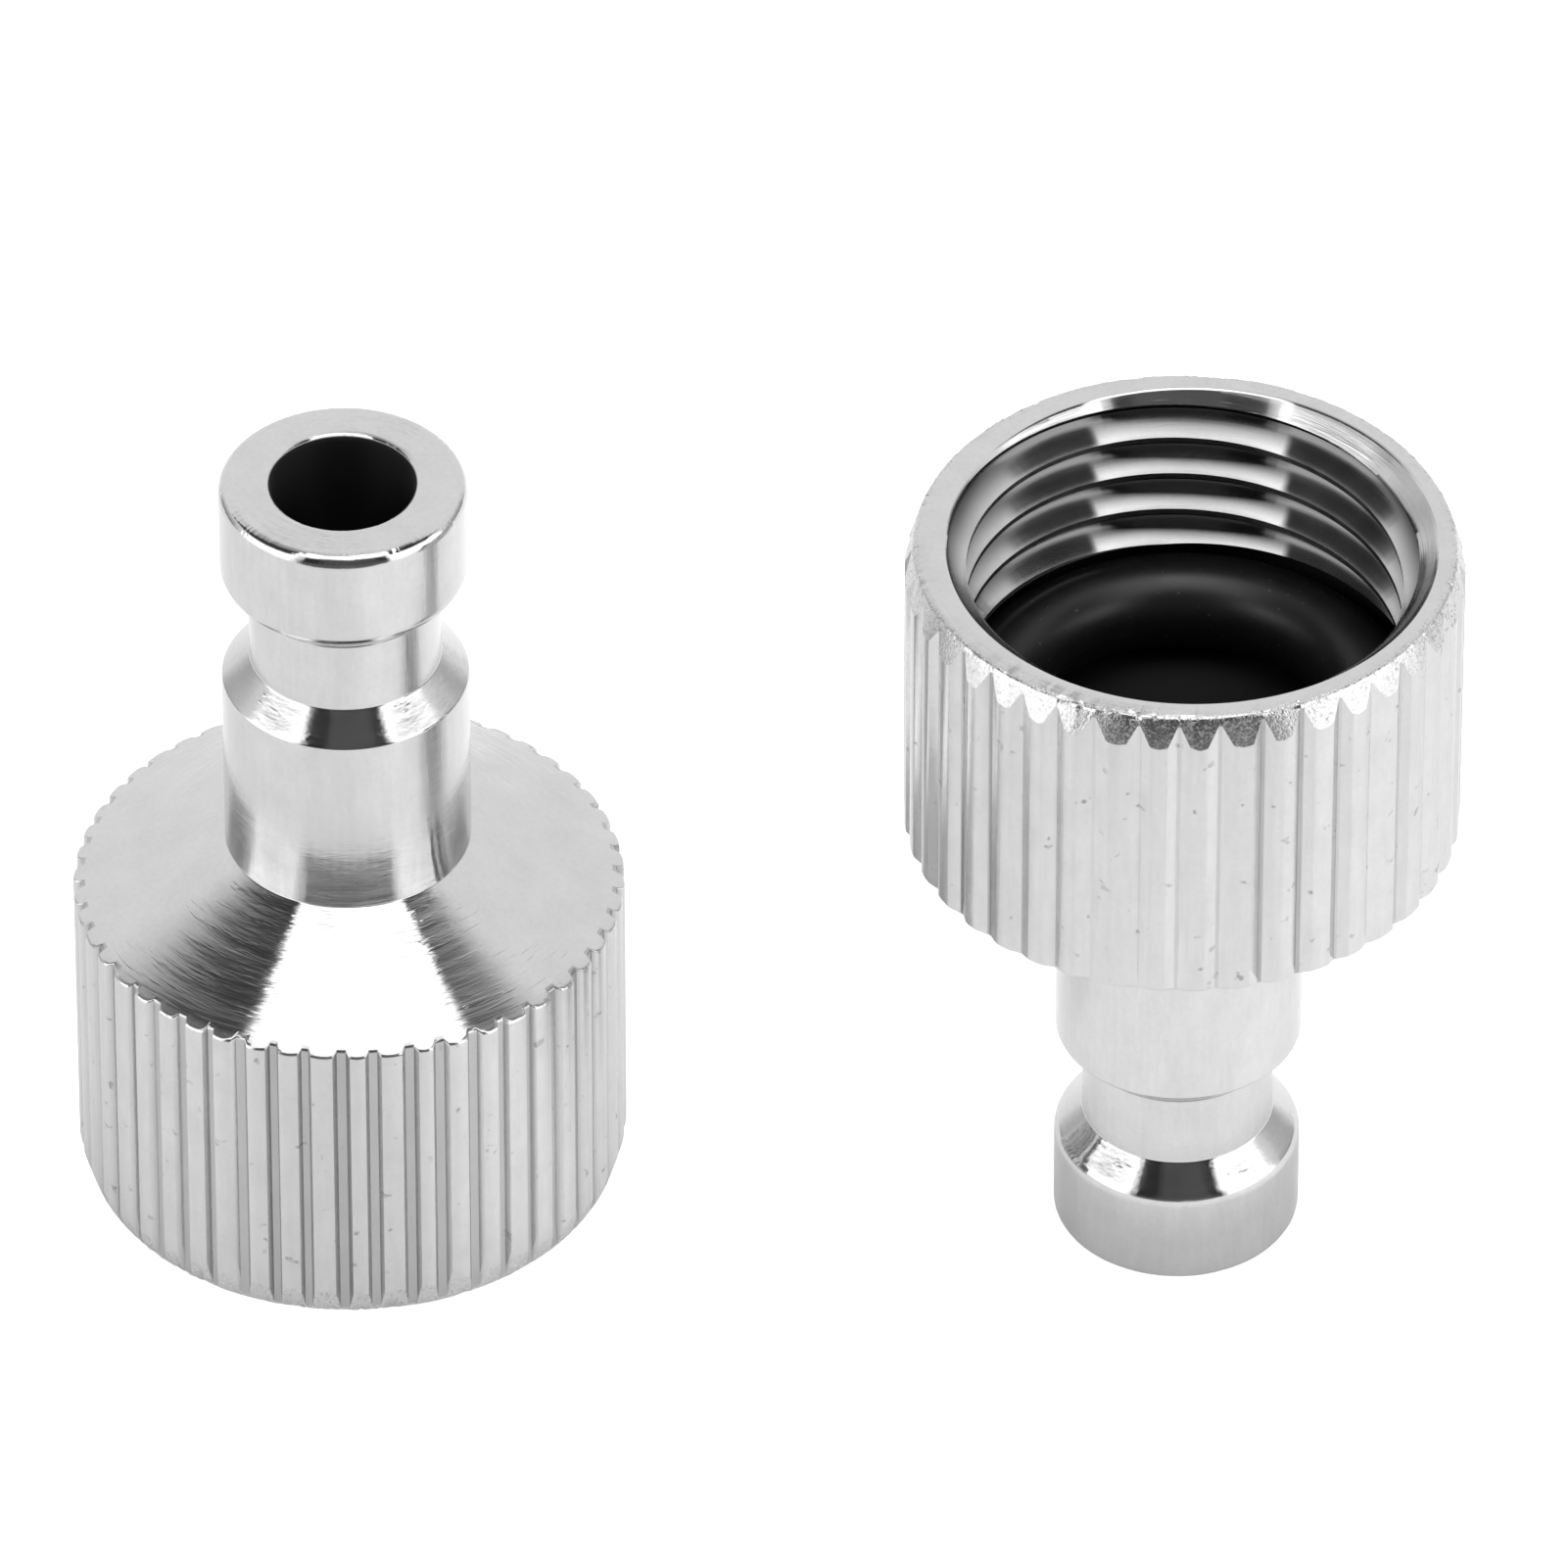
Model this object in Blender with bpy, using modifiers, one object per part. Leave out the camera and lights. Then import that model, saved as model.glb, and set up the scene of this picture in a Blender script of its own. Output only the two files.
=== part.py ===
"""A pair of miniature quick-disconnect plugs with a female 1/8 in pipe thread, in metres with +Z up.

One plug stands on its knurled skirt with the nose up, and the other stands on its nose with the
socket up. Each is a turned, plated brass body with a rubber ring that seals the threaded socket.
Heights in a plug are measured from the mouth of its socket towards its nose.
"""

from math import cos, pi, radians, sin

import bmesh
import bpy
from mathutils import Vector

MM = 0.001

# Threaded socket: its wall is plain, at the crests of the thread
THREAD_CREST_RADIUS = 4.283 * MM
THREAD_DEPTH = 0.581 * MM
THREAD_END = 3.5 * MM
MOUTH_CHAMFER = 0.69 * MM

# Relief behind the thread, which holds the sealing ring
RELIEF_CLEARANCE = 0.036 * MM
RUNOUT_HEIGHT = 0.3 * MM

# Sealing ring, and the clearances that keep it apart from the socket
RING_CORD_RADIUS = 0.95 * MM
RING_HEADROOM = 0.13 * MM
RING_SIDE_CLEARANCE = 0.1 * MM
RING_SEAT_CLEARANCE = 0.05 * MM

# Knurled skirt round the socket, with a shallow lead chamfer that ends inside the groove floors
SKIRT_WALL = 0.44 * MM
SKIRT_FLOOR = 1.22 * MM
KNURL_DEPTH = 0.16 * MM
RIM_LAND = 0.03 * MM
RIM_CHAMFER_HEIGHT = 0.65 * MM

# Cone from the skirt to the barrel
CONE_HEIGHT = 1.32 * MM

# Nose: barrel, locking groove with 45 degree sides, and collar with a rounded tip, round the air passage
BORE_RADIUS = 1.42 * MM
BORE_BREAK = 0.06 * MM
NECK_WALL = 0.48 * MM
LOCK_GROOVE_DEPTH = 0.55 * MM
BARREL_LENGTH = 4.08 * MM
NECK_LENGTH = 1.6 * MM
COLLAR_LENGTH = 2.1 * MM
TIP_ROUND = 0.22 * MM

# Knurl of the upright plug: broad grooves between nearly flat lands
UPRIGHT_GROOVES = 50
UPRIGHT_GROOVE_WIDTH = 0.3 * MM
UPRIGHT_FLOOR_WIDTH = 0.16 * MM
UPRIGHT_CROWN = 0.02 * MM
UPRIGHT_FIRST_GROOVE = radians(-91)

# Knurl of the inverted plug: narrow grooves between ridged lands
INVERTED_GROOVES = 41
INVERTED_GROOVE_WIDTH = 0.22 * MM
INVERTED_FLOOR_WIDTH = 0.06 * MM
INVERTED_CROWN = 0.08 * MM
INVERTED_FIRST_GROOVE = radians(92)

# How the two plugs stand beside each other
PAIR_GAP = 5.5 * MM
PAIR_STAGGER = 1.94 * MM

# Facets, the extra length of a cutter, and the angle past which an edge is drawn sharp
TURN_STEPS = 64
TIP_STEPS = 3
RING_STEPS = 48
CORD_STEPS = 16
CUT_OVER = 1.0 * MM
MERGE = 0.001 * MM
SHARP_EDGE = radians(12)

# Finishes
NICKEL_COLOUR = (0.64, 0.64, 0.63)
NICKEL_ROUGHNESS = 0.2
RUBBER_COLOUR = (0.02, 0.02, 0.02)
RUBBER_ROUGHNESS = 0.5

# Radii that follow from those above, from the axis outwards
NECK_RADIUS = BORE_RADIUS + NECK_WALL
BARREL_RADIUS = NECK_RADIUS + LOCK_GROOVE_DEPTH
MOUTH_RADIUS = THREAD_CREST_RADIUS + MOUTH_CHAMFER
SEAT_RADIUS = THREAD_CREST_RADIUS + THREAD_DEPTH + RELIEF_CLEARANCE
RING_CENTRE_RADIUS = SEAT_RADIUS - RING_SIDE_CLEARANCE - RING_CORD_RADIUS
GROOVE_FLOOR_RADIUS = SEAT_RADIUS + SKIRT_WALL
RIM_RADIUS = GROOVE_FLOOR_RADIUS - RIM_LAND
SKIRT_RADIUS = GROOVE_FLOOR_RADIUS + KNURL_DEPTH

# Heights that follow, from the mouth of the socket to the tip of the nose
RING_CENTRE = THREAD_END + RING_HEADROOM + RING_CORD_RADIUS
SEAT = RING_CENTRE + RING_CORD_RADIUS + RING_SEAT_CLEARANCE
SKIRT_TOP = SEAT + SKIRT_FLOOR
BARREL_FOOT = SKIRT_TOP + CONE_HEIGHT
BARREL_TOP = BARREL_FOOT + BARREL_LENGTH
NECK_FOOT = BARREL_TOP + LOCK_GROOVE_DEPTH
NECK_TOP = NECK_FOOT + NECK_LENGTH
COLLAR_FOOT = NECK_TOP + LOCK_GROOVE_DEPTH
LENGTH = COLLAR_FOOT + COLLAR_LENGTH


def clear_scene():
    for obj in list(bpy.data.objects):
        bpy.data.objects.remove(obj)


def new_collection(name):
    collection = bpy.data.collections.new(name)
    bpy.context.scene.collection.children.link(collection)
    return collection


def give_material(obj, colour, metallic, roughness):
    material = bpy.data.materials.new(obj.name)
    material.use_nodes = True
    shader = material.node_tree.nodes["Principled BSDF"]
    shader.inputs["Base Color"].default_value = (*colour, 1)
    shader.inputs["Metallic"].default_value = metallic
    shader.inputs["Roughness"].default_value = roughness
    obj.data.materials.append(material)


def tip_round():
    """Radius and height round the outer edge of the tip, from its flat end to the collar's wall."""
    centre_radius = BARREL_RADIUS - TIP_ROUND
    centre_height = LENGTH - TIP_ROUND
    turns = [pi / 2 * (1 - step / TIP_STEPS) for step in range(TIP_STEPS + 1)]
    return [(centre_radius + TIP_ROUND * cos(turn), centre_height + TIP_ROUND * sin(turn)) for turn in turns]


def blank_profile():
    """Radius and height round the turned blank: down its outside, then up its socket and bore."""
    # The skirt is left oversize along its two slopes, and the knurl brings it to size.
    oversize = SKIRT_RADIUS + KNURL_DEPTH
    cone_slope = CONE_HEIGHT / (SKIRT_RADIUS - BARREL_RADIUS)
    chamfer_slope = RIM_CHAMFER_HEIGHT / (SKIRT_RADIUS - RIM_RADIUS)
    return [
        (BORE_RADIUS + BORE_BREAK, LENGTH),
        *tip_round(),
        (BARREL_RADIUS, COLLAR_FOOT),
        (NECK_RADIUS, NECK_TOP),
        (NECK_RADIUS, NECK_FOOT),
        (BARREL_RADIUS, BARREL_TOP),
        (BARREL_RADIUS, BARREL_FOOT),
        (oversize, BARREL_FOOT - (oversize - BARREL_RADIUS) * cone_slope),
        (oversize, (oversize - RIM_RADIUS) * chamfer_slope),
        (RIM_RADIUS, 0),
        (MOUTH_RADIUS, 0),
        (THREAD_CREST_RADIUS, MOUTH_CHAMFER),
        (THREAD_CREST_RADIUS, THREAD_END),
        (SEAT_RADIUS, THREAD_END + RUNOUT_HEIGHT),
        (SEAT_RADIUS, SEAT),
        (BORE_RADIUS, SEAT),
        (BORE_RADIUS, LENGTH - BORE_BREAK),
    ]


def turned(name, profile, collection):
    """A closed outline of radius and height, turned about the Z axis."""
    count = len(profile)
    mesh = bpy.data.meshes.new(name)
    edges = [(i, (i + 1) % count) for i in range(count)]
    mesh.from_pydata([(radius, 0, height) for radius, height in profile], edges, [])
    obj = bpy.data.objects.new(name, mesh)
    collection.objects.link(obj)
    screw = obj.modifiers.new("turn", "SCREW")
    screw.steps = TURN_STEPS
    screw.render_steps = TURN_STEPS
    screw.use_merge_vertices = True
    screw.merge_threshold = MERGE
    return obj


def knurl_bar(name, grooves, groove_width, floor_width, crown, first_groove, collection):
    """A bar longer than the plug, with the outline of its knurled skirt."""
    pitch = 2 * pi / grooves
    half_floor = floor_width / 2 / SKIRT_RADIUS
    half_groove = groove_width / 2 / SKIRT_RADIUS
    edge_radius = SKIRT_RADIUS - crown
    # One groove and the land after it: floor, wall, middle of the land, and edge of the next groove
    corners = [
        (-half_floor, GROOVE_FLOOR_RADIUS),
        (half_floor, GROOVE_FLOOR_RADIUS),
        (half_groove, edge_radius),
        (pitch / 2, SKIRT_RADIUS),
        (pitch - half_groove, edge_radius),
    ]
    bar = bmesh.new()
    outline = []
    for groove in range(grooves):
        for turn, radius in corners:
            angle = first_groove + groove * pitch + turn
            outline.append(bar.verts.new((radius * cos(angle), radius * sin(angle), -CUT_OVER)))
    end = bar.faces.new(outline)
    grown = bmesh.ops.extrude_face_region(bar, geom=[end])["geom"]
    far_end = [item for item in grown if isinstance(item, bmesh.types.BMVert)]
    bmesh.ops.translate(bar, verts=far_end, vec=Vector((0, 0, LENGTH + 2 * CUT_OVER)))
    bmesh.ops.recalc_face_normals(bar, faces=bar.faces)
    mesh = bpy.data.meshes.new(name)
    bar.to_mesh(mesh)
    bar.free()
    obj = bpy.data.objects.new(name, mesh)
    obj.hide_render = True
    obj.display_type = "WIRE"
    collection.objects.link(obj)
    return obj


def shade_smooth(obj):
    """Smooth shading with sharp edges, on the mesh that the modifiers make."""
    graph = bpy.context.evaluated_depsgraph_get()
    mesh = bpy.data.meshes.new_from_object(obj.evaluated_get(graph))
    obj.modifiers.clear()
    obj.data = mesh
    mesh.name = obj.name
    mesh.shade_smooth()
    mesh.set_sharp_from_angle(angle=SHARP_EDGE)


def plug_body(name, bar, parts):
    """The turned blank, cut to the outline of its knurl bar."""
    body = turned(name, blank_profile(), parts)
    knurling = body.modifiers.new("knurl", "BOOLEAN")
    knurling.operation = "INTERSECT"
    knurling.solver = "EXACT"
    knurling.object = bar
    shade_smooth(body)
    give_material(body, NICKEL_COLOUR, 1.0, NICKEL_ROUGHNESS)
    return body


def seal_ring(name, parts):
    bpy.ops.mesh.primitive_torus_add(
        major_radius=RING_CENTRE_RADIUS,
        minor_radius=RING_CORD_RADIUS,
        major_segments=RING_STEPS,
        minor_segments=CORD_STEPS,
    )
    ring = bpy.context.object
    ring.name = name
    for collection in list(ring.users_collection):
        collection.objects.unlink(ring)
    parts.objects.link(ring)
    ring.location.z = RING_CENTRE
    ring.data.shade_smooth()
    give_material(ring, RUBBER_COLOUR, 0.0, RUBBER_ROUGHNESS)
    return ring


def plug(name, bar, parts):
    """One plug and its ring, hung with the knurl bar from an empty at the mouth of the socket."""
    mouth = bpy.data.objects.new(name, None)
    parts.objects.link(mouth)
    for piece in (plug_body(name + "_plug_body", bar, parts), seal_ring(name + "_seal_ring", parts), bar):
        piece.parent = mouth
    return mouth


def main():
    clear_scene()
    parts = new_collection("quick_disconnect_coupler")
    cutters = new_collection("cutters")
    half_spacing = SKIRT_RADIUS + PAIR_GAP / 2
    half_stagger = PAIR_STAGGER / 2

    upright_bar = knurl_bar(
        "upright_knurl_bar",
        UPRIGHT_GROOVES,
        UPRIGHT_GROOVE_WIDTH,
        UPRIGHT_FLOOR_WIDTH,
        UPRIGHT_CROWN,
        UPRIGHT_FIRST_GROOVE,
        cutters,
    )
    upright = plug("upright", upright_bar, parts)
    upright.location = (-half_spacing, half_stagger, 0)

    inverted_bar = knurl_bar(
        "inverted_knurl_bar",
        INVERTED_GROOVES,
        INVERTED_GROOVE_WIDTH,
        INVERTED_FLOOR_WIDTH,
        INVERTED_CROWN,
        INVERTED_FIRST_GROOVE,
        cutters,
    )
    inverted = plug("inverted", inverted_bar, parts)
    inverted.location = (half_spacing, -half_stagger, LENGTH)
    inverted.rotation_euler = (pi, 0, 0)


main()
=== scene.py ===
"""Looks of a pair of nickel-plated quick-disconnect plugs, in metres with +Z up.

Each plug is a turned body with a knurled skirt and a threaded socket, and a rubber ring that seals
the socket. Heights in a plug are measured from the mouth of its socket towards its nose.
"""

from collections import namedtuple
from math import asin, cos, pi, radians, sin, tan

import bmesh
import bpy
from mathutils import Matrix, Vector


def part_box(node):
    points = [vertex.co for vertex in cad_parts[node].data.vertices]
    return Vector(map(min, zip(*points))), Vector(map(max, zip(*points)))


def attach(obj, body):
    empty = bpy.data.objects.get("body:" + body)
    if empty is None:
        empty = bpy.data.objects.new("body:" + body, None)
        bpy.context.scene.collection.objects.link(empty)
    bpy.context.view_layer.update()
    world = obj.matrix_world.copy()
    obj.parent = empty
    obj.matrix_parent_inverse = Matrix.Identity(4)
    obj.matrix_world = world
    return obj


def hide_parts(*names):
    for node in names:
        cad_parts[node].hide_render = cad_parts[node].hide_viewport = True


MM = 0.001
MICRON = 0.001 * MM
TURN = 2 * pi

# Threaded socket: narrow crests, rounded roots and a lead chamfer that was cut a little off centre
CREST_RADIUS = 4.283 * MM
THREAD_DEPTH = 0.46 * MM
THREAD_PITCH = 0.907 * MM
CREST_SHARE = 0.13
FLANK_STEEPNESS = 1.2
ROOT_ROUND = 0.6
CREST_MARGIN = 0.005
THREAD_END = 3.5 * MM
ROWS_A_GROOVE = 14
MOUTH_CHAMFER = 0.57 * MM
MOUTH_OFFSET = 0.13 * MM
MOUTH_ROUND = 0.1 * MM
MOUTH_LEAN = pi / 4
CHAMFER_SHINE = 0.3
MOUTH_DEPTH = MOUTH_ROUND * (1 - cos(MOUTH_LEAN))
# Where the outer edge of a crest lies on the wall at the back of the inverted plug
CREST_EDGE_ANGLE = radians(-90)
CREST_EDGE_DEPTH = 0.79 * MM

# Relief behind the thread, and the seat under the ring
SEAT_RADIUS = 4.9 * MM
RUNOUT_HEIGHT = 0.3 * MM
SEAT = 5.58 * MM
SEAT_EDGE_ROUND = 0.05 * MM
SEAT_CORNER_ROUND = 0.15 * MM
RELIEF_ROUND = 0.04 * MM

# Sealing ring
RING_STEPS = 192
CORD_STEPS = 64
FLASH_HEIGHT = 0.012 * MM
FLASH_WIDTH = 0.05 * MM

# Knurled skirt
SKIRT_RADIUS = 5.498 * MM
SKIRT_TOP = 6.8 * MM
RIM_RADIUS = 5.31 * MM
RIM_CHAMFER_HEIGHT = 0.65 * MM
RIM_ROUND = 0.1 * MM
NICK_DEPTH = 0.03 * MM
NICK_SLANT = 0.5
NICKED_STRETCHES = 4.0
NICKED_EDGE = (0.35, 0.6)
KNURL_DEPTH = 0.16 * MM
GROOVE_SHIFT = 0.3
SKIRT_EDGE_ROUND = 0.09 * MM
SKIRT_ROW_SHARES = (0.25, 0.5, 0.75)
CONE_STRIPS = (3, 4)
CREASE_LIMIT = 0.75
RIM_FACE_SCUFF = 0.5
CHAMFER_TOP_SCUFF = 0.6
# Lines along a groove: the middle and edge of its floor before the land, and the next edge after it
COLUMNS_BEFORE_LAND = 2
COLUMNS_BESIDE_STEPS = COLUMNS_BEFORE_LAND + 2

# Nose
BORE_RADIUS = 1.42 * MM
BORE_ROUND = 0.14 * MM
BORE_MIDDLE = 11.0 * MM
NECK_RADIUS = 1.9 * MM
BARREL_RADIUS = 2.45 * MM
BARREL_FOOT = 8.12 * MM
BARREL_TOP = 12.2 * MM
BARREL_FOOT_ROUND = 0.02 * MM
BARREL_EDGE_ROUND = 0.08 * MM
NECK_FOOT = 12.75 * MM
NECK_TOP = 14.35 * MM
NECK_ROUND = 0.06 * MM
COLLAR_FOOT = 14.9 * MM
COLLAR_FOOT_ROUND = 0.35 * MM
TIP_ROUND = 0.22 * MM
TIP_NICK_SHARE = 0.18
LENGTH = 17.0 * MM

# How an edge is rounded, with plain strips beside the arc so that long faces stay flat
ARC_STEPS = 5
STRIP = 0.035 * MM
WELD = 0.3 * MICRON
SHARP_EDGE = radians(28)

# Where the photograph was taken from
CAMERA_LENS = 509.57
CAMERA_SENSOR = 36.0
CAMERA_NEAR_LIMIT = 10 * MM
CAMERA_ELEVATION = radians(40.05)
CAMERA_DISTANCE = 428.94 * MM
CAMERA_TARGET = Vector((0.406, -7.604, 16.466)) * MM

# Marks in the nickel plate: how many to a millimetre, and how high they stand in microns
PLATE_PATCHES = 1.3
TOOL_LEAN = 0.62
TOOL_WANDER = 0.3
FINE_RINGS = 10.0
FINE_RING_LEAST = 2
FINE_RING_GAIN = 9
BROAD_RINGS = 3.0
BROAD_RING_HEIGHT = 14
SCORES = 14.0
SCORE_EDGE = (0.58, 0.68)
SCORE_HEIGHT = 3
WALL_EDGE = (0.15, 0.45)
DRAWN_LINES = 6.0
DRAWN_STRETCH = 0.12
DRAWN_HEIGHT = 3
PITS = 3.3
PIT_EDGE = (0.66, 0.75)
SCUFFS = 14.0
SCUFF_HEIGHT = 14
WORN_EDGE = (0.48, 0.68)
GRAIN = 9.0
GRAIN_SHARE = 0.8
# How much of the tool's rings is polished away on the upright walls and inside the socket
WALL_POLISH = 0.7
SOCKET_POLISH = 0.88

# Greys of the plate and of the painted shade on it, and where the painted shade of the bore and of the
# thread starts
PLATE_DARK = 0.55
PLATE_BRIGHT = 0.65
PIT_AND_GROOVE_SHADE_GREY = 0.26
GROOVE_SHADE_LEAST = 0.3
GROOVE_SHADE_GAIN = 0.3
PIT_SHARE = 0.5
ROOT_SHADE_GREY = 0.1
ROOT_SHADE_SHARE = 0.92
ROOT_EDGE = (4.15, 4.7)
SOCKET_EDGE = (0.75, 0.95)
BORE_SEAT_SHADE_BLACK = 0.012
BORE_SHADE_EDGE = (1.45, 1.48)

# How rough each part of the plate is
PLATE_ROUGHNESS = 0.08
PATCH_ROUGHNESS = 0.05
KNURL_ROUGHNESS = 0.08
PIT_ROUGHNESS = 0.1
ROOT_ROUGHNESS = 0.03
CREST_ROUGHNESS = 0.08
WORN_ROUGHNESS = 0.4
BORE_SEAT_SHADE_ROUGHNESS = 0.7
PLATE_SPECULAR = 0.15
# A quarter turn lays the stretched highlights along the section of the plug, as on turned metal
STRETCH_TURN = 0.25

# Black rubber with a little dust on it
RUBBER_DARK = 0.007
RUBBER_PALE = 0.014
RUBBER_CLOUDS = 1.6
RUBBER_GRAIN = 30.0
RUBBER_GRAIN_HEIGHT = 2 * MICRON
RUBBER_GRAIN_STRENGTH = 0.5
RUBBER_SPECULAR = 0.5
RUBBER_ROUGHNESS = 0.3
CLOUD_ROUGHNESS = 0.12
DUST_COLOUR = (0.16, 0.16, 0.155, 1)
DUST_SPOTS = 7.0
DUST_EDGE = (0.67, 0.72)
DUST_SHARE = 0.5
DUST_ROUGHNESS = 0.2

# Pale sheet that the plugs stand on
SHEET_HALF_SIZE = 100.0 * MM
SHEET_FRONT = -45.0 * MM
SHEET_DARK = 0.9
SHEET_PALE = 0.94
SHEET_FIBRES = 900.0
SHEET_ROUGHNESS = 0.9
# Painted light: the sheet's glow is brighter to the camera, with painted shadow near the inverted plug's
# foot
SHEET_GLOW_SEEN = 0.8
SHEET_GLOW_LEFT = 0.17
SHEET_GLOW_RIGHT = 0.34
SHEET_GLOW_FOOT = 0.1
GLOW_EDGE = (-9 * MM, 3 * MM)
FOOT_SHADE = (3.6 * MM, 5.6 * MM)

# Light from each part of the studio, where 1 is paper white
BACKDROP = 1.2
BACK_WALL = 1.05
LOW_REAR = 0.62
LOW_REAR_FLOOR = 0.3
CEILING_FRONT = 0.03
CEILING_LEFT = 0.5
CEILING_RIGHT = 0.85
DARK_WALL = 0.04
SIDE_BOX = 2.4
FRONT_LOW = 0.14
FRONT_MIDDLE = 0.1
FRONT_SIDES = 0.03
OVERHEAD_BOX = 2.0
OVERHEAD_LAMP = 4.0

# Where each part of the studio is, in degrees round from the front or up from level
LOW_REAR_ROUND = (100, 132, 8)
LOW_REAR_TOP = (14, 30)
FLOOR_LINE = (0, 8)
CEILING_UP_FRONT = (35, 50)
CEILING_UP_LEFT = (40, 60)
CEILING_UP_RIGHT = (55, 64)
DARK_RIGHT_ROUND = (60, 108, 4)
DARK_RIGHT_UP = (36, 42)
DARK_LEFT_ROUND = (60, 120, 4)
DARK_LEFT_UP = (28, 34)
BOX_START = 44
BOX_ROUND = (BOX_START, 92, 5)
BOX_UP = (-12, 50, 4)
BOX_SLOPE = 0.4
FRONT_ROUND = (-37, 40, 3)
FRONT_UP = (-60, 64, 4)
FRONT_MIDDLE_ROUND = (-18, 31, 6)
FRONT_LOW_UP = (-4, 24)

# Where the sky changes, as shares of its half width across and from front to back
BEHIND = (-0.05, 0.15)
ON_RIGHT = (-0.1, 0.1)
CEILING_BACK = (0, 0.5)
OVERHEAD_MIDDLE = 0.02
OVERHEAD_HALF_WIDTH = 0.35
OVERHEAD_TAPER = 0.5
OVERHEAD_EDGE = (0.94, 1.06)
OVERHEAD_DEPTH = (-0.4, 0.36, 0.03)
OVERHEAD_UP = (0.3, 0.4)
LAMP_WIDTH = (-0.1, 0.14, 0.03)
LAMP_DEPTH = (-0.15, 0.15, 0.03)

Row = namedtuple(
    "Row",
    "radius height knurl slide thread mouth flare crease nick scuff inside oily",
    defaults=(0.0,) * 10,
)
ROW_MARKS = Row._fields[2:]
GrooveShade = namedtuple("GrooveShade", "share start full")


class Wire:
    """An output socket of a node tree, so that node maths reads as Python maths."""

    def __init__(self, socket):
        self.socket = socket
        self.tree = socket.id_data

    @staticmethod
    def add(tree, kind, settings=None, sockets=None, output=0):
        """Any node: its settings come first, then values or links for its sockets."""
        node = tree.nodes.new(kind)
        for name, value in (settings or {}).items():
            setattr(node, name, value)
        for key, value in (sockets or {}).items():
            if isinstance(value, Wire):
                tree.links.new(value.socket, node.inputs[key])
            else:
                node.inputs[key].default_value = value
        return Wire(node.outputs[output]) if node.outputs else None

    def out(self, name):
        """Another output of the same node."""
        return Wire(self.socket.node.outputs[name])

    def math(self, operation, *terms):
        return self.sum_of(operation, self, *terms)

    def sum_of(self, operation, *terms):
        return Wire.add(self.tree, "ShaderNodeMath", {"operation": operation}, dict(enumerate(terms)))

    def __add__(self, other):
        return self.math("ADD", other)

    __radd__ = __add__

    def __sub__(self, other):
        return self.math("SUBTRACT", other)

    def __rsub__(self, other):
        return self.sum_of("SUBTRACT", other, self)

    def __mul__(self, other):
        return self.math("MULTIPLY", other)

    __rmul__ = __mul__

    def __truediv__(self, other):
        return self.math("DIVIDE", other)

    def __rtruediv__(self, other):
        return self.sum_of("DIVIDE", other, self)

    def __mod__(self, other):
        return self.math("FLOORED_MODULO", other)

    def floor(self):
        return self.math("FLOOR")

    def least(self, other):
        return self.math("MINIMUM", other)

    def most(self, other):
        return self.math("MAXIMUM", other)

    def within(self, low, high):
        return self.most(low).least(high)

    def step(self, low, high):
        """Smooth rise from 0 at low to 1 at high."""
        settings = {"interpolation_type": "SMOOTHSTEP"}
        return Wire.add(self.tree, "ShaderNodeMapRange", settings, {0: self, 1: low, 2: high})

    def window(self, low, high, soft):
        """1 between low and high, falling to 0 over a soft edge."""
        return self.step(low - soft, low + soft) * (1 - self.step(high - soft, high + soft))

    def blend(self, first, second):
        """Value between two others, with this wire as the share of the second."""
        return Wire.add(self.tree, "ShaderNodeMix", {}, {0: self, 2: first, 3: second})

    def tint(self, first, second):
        """Colour between two others, with this wire as the share of the second."""
        return Wire.add(
            self.tree, "ShaderNodeMix", {"data_type": "RGBA"}, {0: self, 6: first, 7: second}, output=2
        )


def rounded(corners):
    """Points along an outline of (radius, height, rounding) corners, from the first to the last."""
    points = [Vector(corners[0][:2])]
    for before, corner, after in zip(corners, corners[1:], corners[2:]):
        at = Vector(corner[:2])
        back = (Vector(before[:2]) - at).normalized()
        ahead = (Vector(after[:2]) - at).normalized()
        half = back.angle(ahead) / 2
        rounding = corner[2]
        reach = rounding / tan(half)
        centre = at + (back + ahead).normalized() * (rounding / sin(half))
        spoke = at + back * reach - centre
        sweep = spoke.angle_signed(at + ahead * reach - centre)
        points.append(at + back * (reach + STRIP))
        for step in range(ARC_STEPS + 1):
            turn = Matrix.Rotation(-sweep * step / ARC_STEPS, 2)
            points.append(centre + turn @ spoke)
        points.append(at + ahead * (reach + STRIP))
    points.append(Vector(corners[-1][:2]))
    return points


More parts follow.
